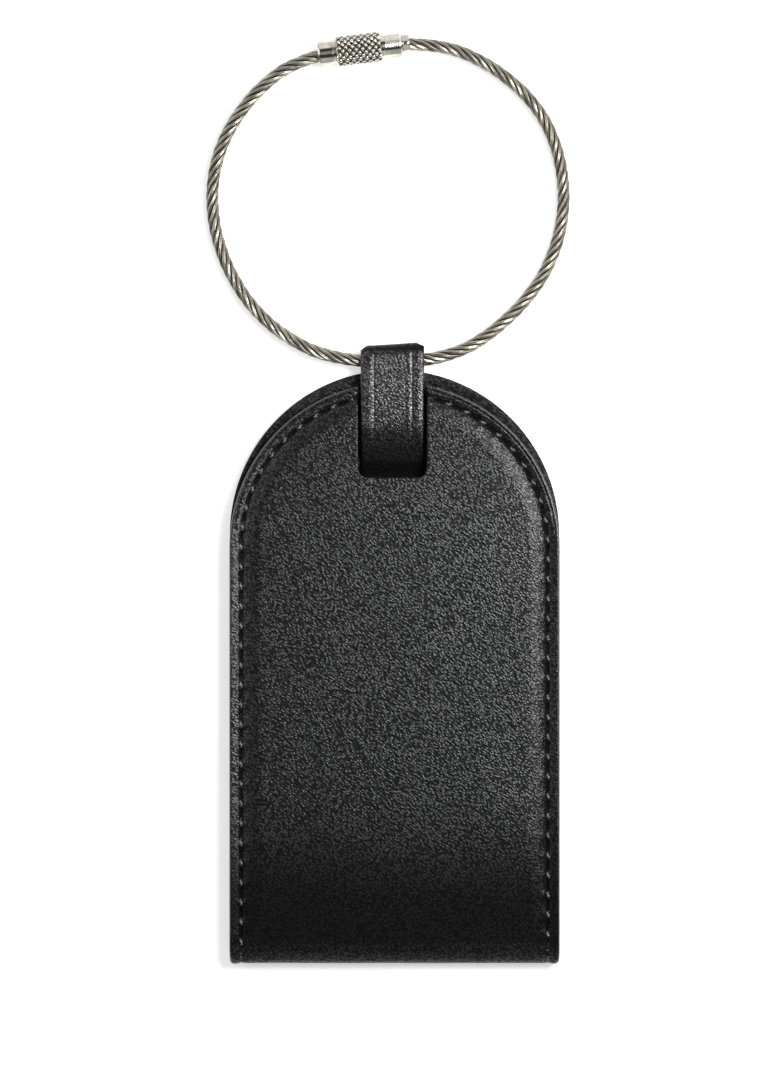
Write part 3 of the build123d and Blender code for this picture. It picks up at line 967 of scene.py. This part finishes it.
def make_fold_stitches(side, finish):
    """One stitch on each side where the seam turns round the fold."""
    parts = []
    for x_side in (-1, 1):
        v = np.linspace(FOLD_Y - 0.1, PATTERN_END + 0.15, FOLD_SAMPLES)
        t = np.linspace(*STITCH_ENDS, FOLD_SAMPLES)
        heights = FOLD_SINK + (FOLD_CREST - FOLD_SINK) * np.sin(math.pi * t) ** 0.6
        x = np.full(FOLD_SAMPLES, x_side * SEAM_RADIUS)
        parts += thread_run(folded(x, v, heights, side))
    name = "upper_fold_thread" if side == FLAP else "lower_fold_thread"
    return new_piece(name, *join(parts), 60, "thread", finish)


# ---- strap ----
STRAP = 1.0
ROPE_MIDDLE_Y = 55.7
STRAP_BEND = 2.0
STRAP_TILT = math.tan(math.radians(3.7))
STRAP_STEP = 0.22          # length of a face along the strap
STRAP_EDGE = [1, 0.992, 0.978, 0.958, 0.93, 0.9]       # shares of the half width, edge first
CREASE_DEPTH = 0.05        # a pressed line runs along each edge, with a ridge outside it
LEFT_CREASE = 2.5
RIGHT_CREASE = 2.25
RIDGE_HEIGHT = 0.055
LEFT_CORNER = (57.0, 1.15, 0.95)       # a corner's chamfer: its start along y, and its reach
RIGHT_CORNER = (57.85, 1.8, 0.75)      # across and along
STRAP_REAR = [(27.9, 1.4), (34.0, 1.4), (45.0, 1.4), (51.5, 1.4), (53.6, 1.15)]
STRAP_FRONT = [(52.0, 5.10), (48.0, 5.08), (45.0, 5.0), (42.5, 4.75), (40.2, 4.3), (38.2, 3.75),
               (36.6, 3.1), (35.2, 2.4), (34.0, 1.75), (32.6, 1.5), (31.2, 1.45)]


def strap_middle_line():
    """The strap's line from its rear end, up round the rope and down into the slot."""
    points = list(STRAP_REAR)
    for i in range(17):
        a = -math.pi / 2 + math.pi * i / 16
        points.append((ROPE_MIDDLE_Y + STRAP_BEND * math.cos(a),
                       MIDDLE_Z + STRAP_BEND * math.sin(a)))
    points += STRAP_FRONT
    line = np.array([(0.0, y, z) for y, z in points])
    for _ in range(3):
        cut = np.concatenate([0.75 * line[:-1] + 0.25 * line[1:],
                              0.25 * line[:-1] + 0.75 * line[1:]], axis=1).reshape(-1, 3)
        line = np.concatenate([line[:1], cut, line[-1:]])
    return respaced(line, STRAP_STEP)[0]


def chamfered(x, y, edge_x, corner, toward):
    """x pulled in from an edge by a straight chamfer; toward is 1 to the right, -1 to the left."""
    corner_y, reach_x, reach_y = corner
    limit = edge_x + toward * reach_x * np.clip((y - corner_y) / reach_y, 0, 1.6)
    return np.maximum(x, limit) if toward > 0 else np.minimum(x, limit)


def make_strap(finish):
    """One strip with pressed edges; its corners are pulled in where it turns over the rope."""
    line = strap_middle_line()
    tangents = np.gradient(line, axis=0)
    tangents /= np.linalg.norm(tangents, axis=1)[:, None]
    normals = np.stack([np.zeros(len(line)), tangents[:, 2], -tangents[:, 1]], axis=1)
    half = STRAP_WIDTH / 2
    edge = [-share for share in STRAP_EDGE]
    across = np.concatenate([edge, np.linspace(-0.88, 0.88, 71), STRAP_EDGE[::-1]])
    from_left = half * (1 + across)
    from_right = half * (1 - across)
    crown = np.sqrt(1 - np.clip((np.abs(across) - 0.93) / 0.07, 0, 1) ** 2 * 0.88)
    crease = bell(from_left - LEFT_CREASE, 0.15) + bell(from_right - RIGHT_CREASE, 0.13)
    crease *= CREASE_DEPTH
    ridge = RIDGE_HEIGHT * (bell(from_left - 1.6, 0.6) + bell(from_right - 1.1, 0.6))
    ridge += 0.03 * bell(from_right - 2.9, 0.4)
    rows = []
    for (_, y, z), normal in zip(line, normals):
        pressed = float(z > MIDDLE_Z) * float(smooth((y - 37.0) / 6.0))
        tilt = STRAP_TILT * float(smooth((y - 44.0) / 12.0))
        lift = STRAP / 2 * crown + (ridge - crease) * pressed
        lift = lift + 0.04 * math.sin(y * 0.9) * pressed
        sheet = []
        for rise, order in ((lift, 1), (-STRAP / 2 * crown, -1)):
            x = STRAP_X + half * across
            ys = y + normal[1] * rise + tilt * (x - STRAP_X)
            zs = z + normal[2] * rise
            x = chamfered(x, ys, STRAP_X - half, LEFT_CORNER, 1)
            x = chamfered(x, ys, STRAP_X + half, RIGHT_CORNER, -1)
            sheet.append(np.stack([x, ys, zs], axis=1)[::order])
        rows.append(np.concatenate(sheet))
    around = len(rows[0])
    faces = ring_faces(len(rows), around)
    for row, flip in ((0, False), (len(rows) - 1, True)):
        for i in range(len(across) - 1):
            a = row * around + i
            b = row * around + around - 1 - i
            quad = (a, a + 1, b - 1, b)
            faces.append(tuple(reversed(quad)) if flip else quad)
    return new_piece("strap_strip", np.concatenate(rows), faces, 50, "strap_leather", finish)


# ---- clasp ----
BARREL_START = -8.65
KNURL_START = -5.13
KNURL_END = 3.38
BARREL_END = 7.17
KNURL_RADIUS = 2.95
PLAIN_RADIUS = 2.55
EXIT_RADIUS = 1.28
CHAMBER_RADIUS = 1.70
CHAMBER_START = -6.6
COLLAR_RADIUS = 1.8
COLLAR_START = 7.32
COLLAR_END = 8.74
STUD_TIP = 1.6
SHANK_RADIUS = 1.62
STUD_BORE = 1.25
STUD_BORE_START = 2.9
THREAD_PITCH = 0.7
THREAD_DEPTH = 0.16
BEAD_LENGTH = 1.25
BEADS_AROUND = 13
KNURL_DEPTH = 0.40
KNURL_STEP = 0.085
GROOVE_SHADE = 0.14        # the knurl is shaded from this depth down
FINE_GROOVE = 0.42         # pitch of the turned lines on the plain end
FINE_DEPTH = 0.035
HEX_SIDES = 6
HEX_FLAT = 0.94            # the collar's crimped flats, as a share of its radius
BARREL_SIDES = 216
STUD_SIDES = 96


def turned(name, profile, around, raise_by, *finishes):
    """A lathe-turned piece on the clasp's axis from a closed ring of (place, radius) pairs."""
    across = np.array([-CLASP_AXIS[1], CLASP_AXIS[0], 0.0])
    up = np.array([0.0, 0.0, 1.0])
    phase = TURN * np.arange(around) / around
    spokes = np.cos(phase)[:, None] * across + np.sin(phase)[:, None] * up
    rows = []
    for s, radius in profile:
        r = radius + raise_by(s, phase, radius)
        rows.append(on_clasp(s) + r[:, None] * spokes)
    faces = [tuple(reversed(f)) for f in ring_faces(len(profile), around, closed_rows=True)]
    return new_piece(name, np.concatenate(rows), faces, 35, "clasp_nickel", *finishes)


def knurl_height(s, phase, radius):
    """Rounded diamond beads between crossing helical grooves; fine turned lines at the right."""
    if s > KNURL_END + 0.1 and radius > PLAIN_RADIUS - 0.01 and s < BARREL_END - 0.3:
        return np.full(len(phase), -FINE_DEPTH * math.sin(math.pi * s / FINE_GROOVE) ** 2)
    if radius < KNURL_RADIUS - 0.5 or not KNURL_START + 0.2 < s < KNURL_END - 0.2:
        return np.zeros(len(phase))
    lead = math.pi * (s - KNURL_START) / BEAD_LENGTH
    one = np.abs(np.sin(lead + BEADS_AROUND * phase / 2))
    other = np.abs(np.sin(lead - BEADS_AROUND * phase / 2))
    return -KNURL_DEPTH * (1 - (one * other) ** 0.5)


def shade_knurl(mesh):
    """Paints shade into the grooves between the knurl's beads."""
    places = np.array([v.co for v in mesh.vertices]) / MM - np.array(CLASP_CENTRE)
    along = places @ CLASP_AXIS
    radii = np.linalg.norm(places - along[:, None] * CLASP_AXIS, axis=1)
    low = (radii < KNURL_RADIUS - GROOVE_SHADE) & (radii > KNURL_RADIUS - 0.5)
    low &= (along > KNURL_START + 0.1) & (along < KNURL_END - 0.1)
    use_second_material(mesh, [all(low[i] for i in p.vertices) for p in mesh.polygons])


def near(place, radius, *offsets):
    """Profile pairs, given by their offsets from one place and radius."""
    return [(place + s, radius + r) for s, r in offsets]


def make_barrel(finish):
    """The clasp's barrel: plain ends, turned rings, a knurled middle and a chamber inside."""
    knurl_steps = round((KNURL_END - KNURL_START - 0.4) / KNURL_STEP)
    knurl = [
        (KNURL_START + 0.21 + (KNURL_END - KNURL_START - 0.42) * i / knurl_steps, KNURL_RADIUS)
        for i in range(knurl_steps + 1)
    ]
    fine_lines = [(s, PLAIN_RADIUS) for s in np.arange(KNURL_END + 0.85, BARREL_END - 0.4, 0.06)]
    profile = [
        (CHAMBER_START, EXIT_RADIUS),
        *near(BARREL_START, EXIT_RADIUS, (0.15, 0), (0.03, 0.08), (0, 0.2)),
        *near(BARREL_START, PLAIN_RADIUS, (0, -0.45), (0.04, -0.28), (0.14, -0.12),
              (0.3, -0.02), (0.45, 0)),
        *near(KNURL_START, PLAIN_RADIUS, (-0.75, 0), (-0.62, -0.1), (-0.42, -0.1), (-0.3, 0),
              (-0.04, 0), (0, 0.05)),
        (KNURL_START + 0.08, KNURL_RADIUS - 0.22),
        *knurl,
        (KNURL_END - 0.08, KNURL_RADIUS - 0.22),
        *near(KNURL_END, PLAIN_RADIUS, (0, 0.05), (0.04, 0), (0.5, 0), (0.6, -0.1), (0.75, -0.1)),
        *fine_lines,
        *near(BARREL_END, PLAIN_RADIUS, (-0.35, 0), (-0.15, -0.05), (-0.04, -0.17), (0, -0.32)),
        *near(BARREL_END, CHAMBER_RADIUS, (0, 0.2), (-0.12, 0.05), (-0.2, 0)),
        *near(CHAMBER_START, CHAMBER_RADIUS, (0.2, 0), (0, 0)),
    ]
    # The knurl's grooves get this dark material as painted shade.
    shade = metal("knurl_shade", (0.07, 0.062, 0.05), 0.5, 0.2, 0.01)
    obj = turned("knurled_barrel", profile, BARREL_SIDES, knurl_height, finish, shade)
    shade_knurl(obj.data)
    return obj


def thread_height(s, phase, radius):
    """A real helical thread on the shank, and six crimped flats on the collar."""
    if s > COLLAR_START + 0.05 and radius > COLLAR_RADIUS - 0.06:
        side = TURN / HEX_SIDES
        turn = (phase + side / 2) % side - side / 2
        flat = COLLAR_RADIUS * HEX_FLAT / np.cos(turn)
        return np.minimum(flat, COLLAR_RADIUS) - COLLAR_RADIUS
    if not STUD_TIP + 0.25 < s < BARREL_END - 0.3 or radius < SHANK_RADIUS - 0.02:
        return np.zeros(len(phase))
    return -THREAD_DEPTH * (0.5 - 0.5 * np.cos(phase + TURN * s / THREAD_PITCH))


def make_stud(finish):
    """The threaded stud and its collar, with the bore that the rope's end sits in."""
    steps = round((BARREL_END - STUD_TIP - 0.6) / 0.07)
    shank = [
        (STUD_TIP + 0.26 + (BARREL_END - STUD_TIP - 0.57) * i / steps, SHANK_RADIUS)
        for i in range(steps + 1)
    ]
    profile = [
        (STUD_BORE_START, 0.05), (STUD_BORE_START, STUD_BORE),
        *near(COLLAR_END, STUD_BORE, (-0.1, 0), (0, 0.12)),
        *near(COLLAR_END, COLLAR_RADIUS, (0, -0.3), (-0.06, -0.14), (-0.2, -0.02), (-0.36, 0)),
        *near(COLLAR_START, COLLAR_RADIUS, (0.3, 0), (0.12, -0.05), (0, -0.16)),
        (COLLAR_START, SHANK_RADIUS - 0.12),
        *reversed(shank),
        *near(STUD_TIP, SHANK_RADIUS, (0.12, -0.12), (0, -0.3)),
        (STUD_TIP, 0.05),
    ]
    return turned("screw_stud", profile, STUD_SIDES, thread_height, finish)


# ---- the whole tag ----
make_camera()
make_stage()

rope, rope_line = make_rope()
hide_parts("wire_rope")

# Painted shade and highlight in the last argument: the shine is dulled above the fold and slightly
# near the arch, and left full on the fold's turn as a painted highlight.
HIDE = leather(
    "pebbled_leather", grey(0.005), grey(0.009), 0.31, 0.065, 0.31, 1.05,
    ((-56.0, 1.0), (-53.8, 0.35), (-46.0, 0.34), (-36.0, 0.74), (-26.0, 1.0), (31.0, 1.0),
     (40.0, 0.88)),
)
LINING_HIDE = leather("lining_leather", grey(0.006), grey(0.014), 0.4, 0.06, 0.48)
# Painted shade in the last argument: the strap's shine is dulled where it dips into the notch and
# where it bends over the rope.
STRAP_HIDE = leather(
    "strap_leather", (0.004, 0.0038, 0.0042), (0.009, 0.0083, 0.0093), 0.29, 0.055, 0.31, 1.95,
    ((36.0, 0.2), (39.5, 0.6), (43.0, 1.0), (56.4, 1.0), (57.2, 0.1)),
)
THREAD = plain("waxed_thread", (0.10, 0.098, 0.094), 0.3, 0.12, 0.01, 2.2)
NICKEL = metal("polished_nickel", (0.80, 0.77, 0.69), 0.15, 0.35, 0.0005)
EDGE_PAINT = plain("edge_paint", (0.02, 0.02, 0.021), 0.3, 0.5, 0.01, 1.0)

back_leather = make_outer_leather(BACK, HIDE, EDGE_PAINT)
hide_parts("back_outer_leather", "fold_outer_leather")
flap_leather = make_outer_leather(FLAP, HIDE, EDGE_PAINT)
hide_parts("front_outer_leather")
back_lining = make_lining(BACK, LINING_HIDE, EDGE_PAINT)
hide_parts("back_lining", "fold_lining")
flap_lining = make_lining(FLAP, LINING_HIDE, EDGE_PAINT)
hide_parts("front_lining")
lower_fold_thread = make_fold_stitches(BACK, THREAD)
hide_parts("fold_stitching")
upper_fold_thread = make_fold_stitches(FLAP, THREAD)
back_thread = make_stitches(BACK, THREAD)
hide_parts("back_stitching")
flap_thread = make_stitches(FLAP, THREAD)
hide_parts("front_stitching")
strap = make_strap(STRAP_HIDE)
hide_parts("strap_loop")
barrel = make_barrel(NICKEL)
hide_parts("clasp_barrel")
stud = make_stud(NICKEL)
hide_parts("threaded_stud")

for piece, side in ((back_leather, BACK), (flap_leather, FLAP),
                    (lower_fold_thread, BACK), (upper_fold_thread, FLAP)):
    join_fold(piece, side)
for piece, side in ((back_lining, BACK), (flap_lining, FLAP)):
    join_fold(piece, side)
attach(back_thread, "back")
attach(flap_thread, "flap")
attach(strap, "back")
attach(barrel, "barrel")
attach(stud, "stud")
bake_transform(rope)

CAD_FINISHES = {
    "clasp_ferrule": metal("ferrule_metal", (0.62, 0.58, 0.52), 0.3),
    "back_magnets": metal("magnet_plating", (0.6, 0.6, 0.62), 0.25),
    "front_magnets": metal("magnet_plating_2", (0.6, 0.6, 0.62), 0.25),
    "back_stiffener": plain("grey_board", (0.30, 0.28, 0.25), 0.9, 0.3, 0.02),
    "front_stiffener": plain("grey_board_2", (0.30, 0.28, 0.25), 0.9, 0.3, 0.02),
    "address_card": plain("card_paper", (0.82, 0.80, 0.75), 0.8, 0.15, 0.006),
    "card_window": clear_film("clear_film", 0.03, 9.0, 0.05),
    "window_stitching": plain("thread_2", (0.16, 0.155, 0.15), 0.5, 0.12, 0.02),
    "strap_stitching": plain("thread_3", (0.16, 0.155, 0.15), 0.5, 0.12, 0.02),
}
for node, finish in CAD_FINISHES.items():
    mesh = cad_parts[node].data
    mesh.materials.clear()
    mesh.materials.append(finish)
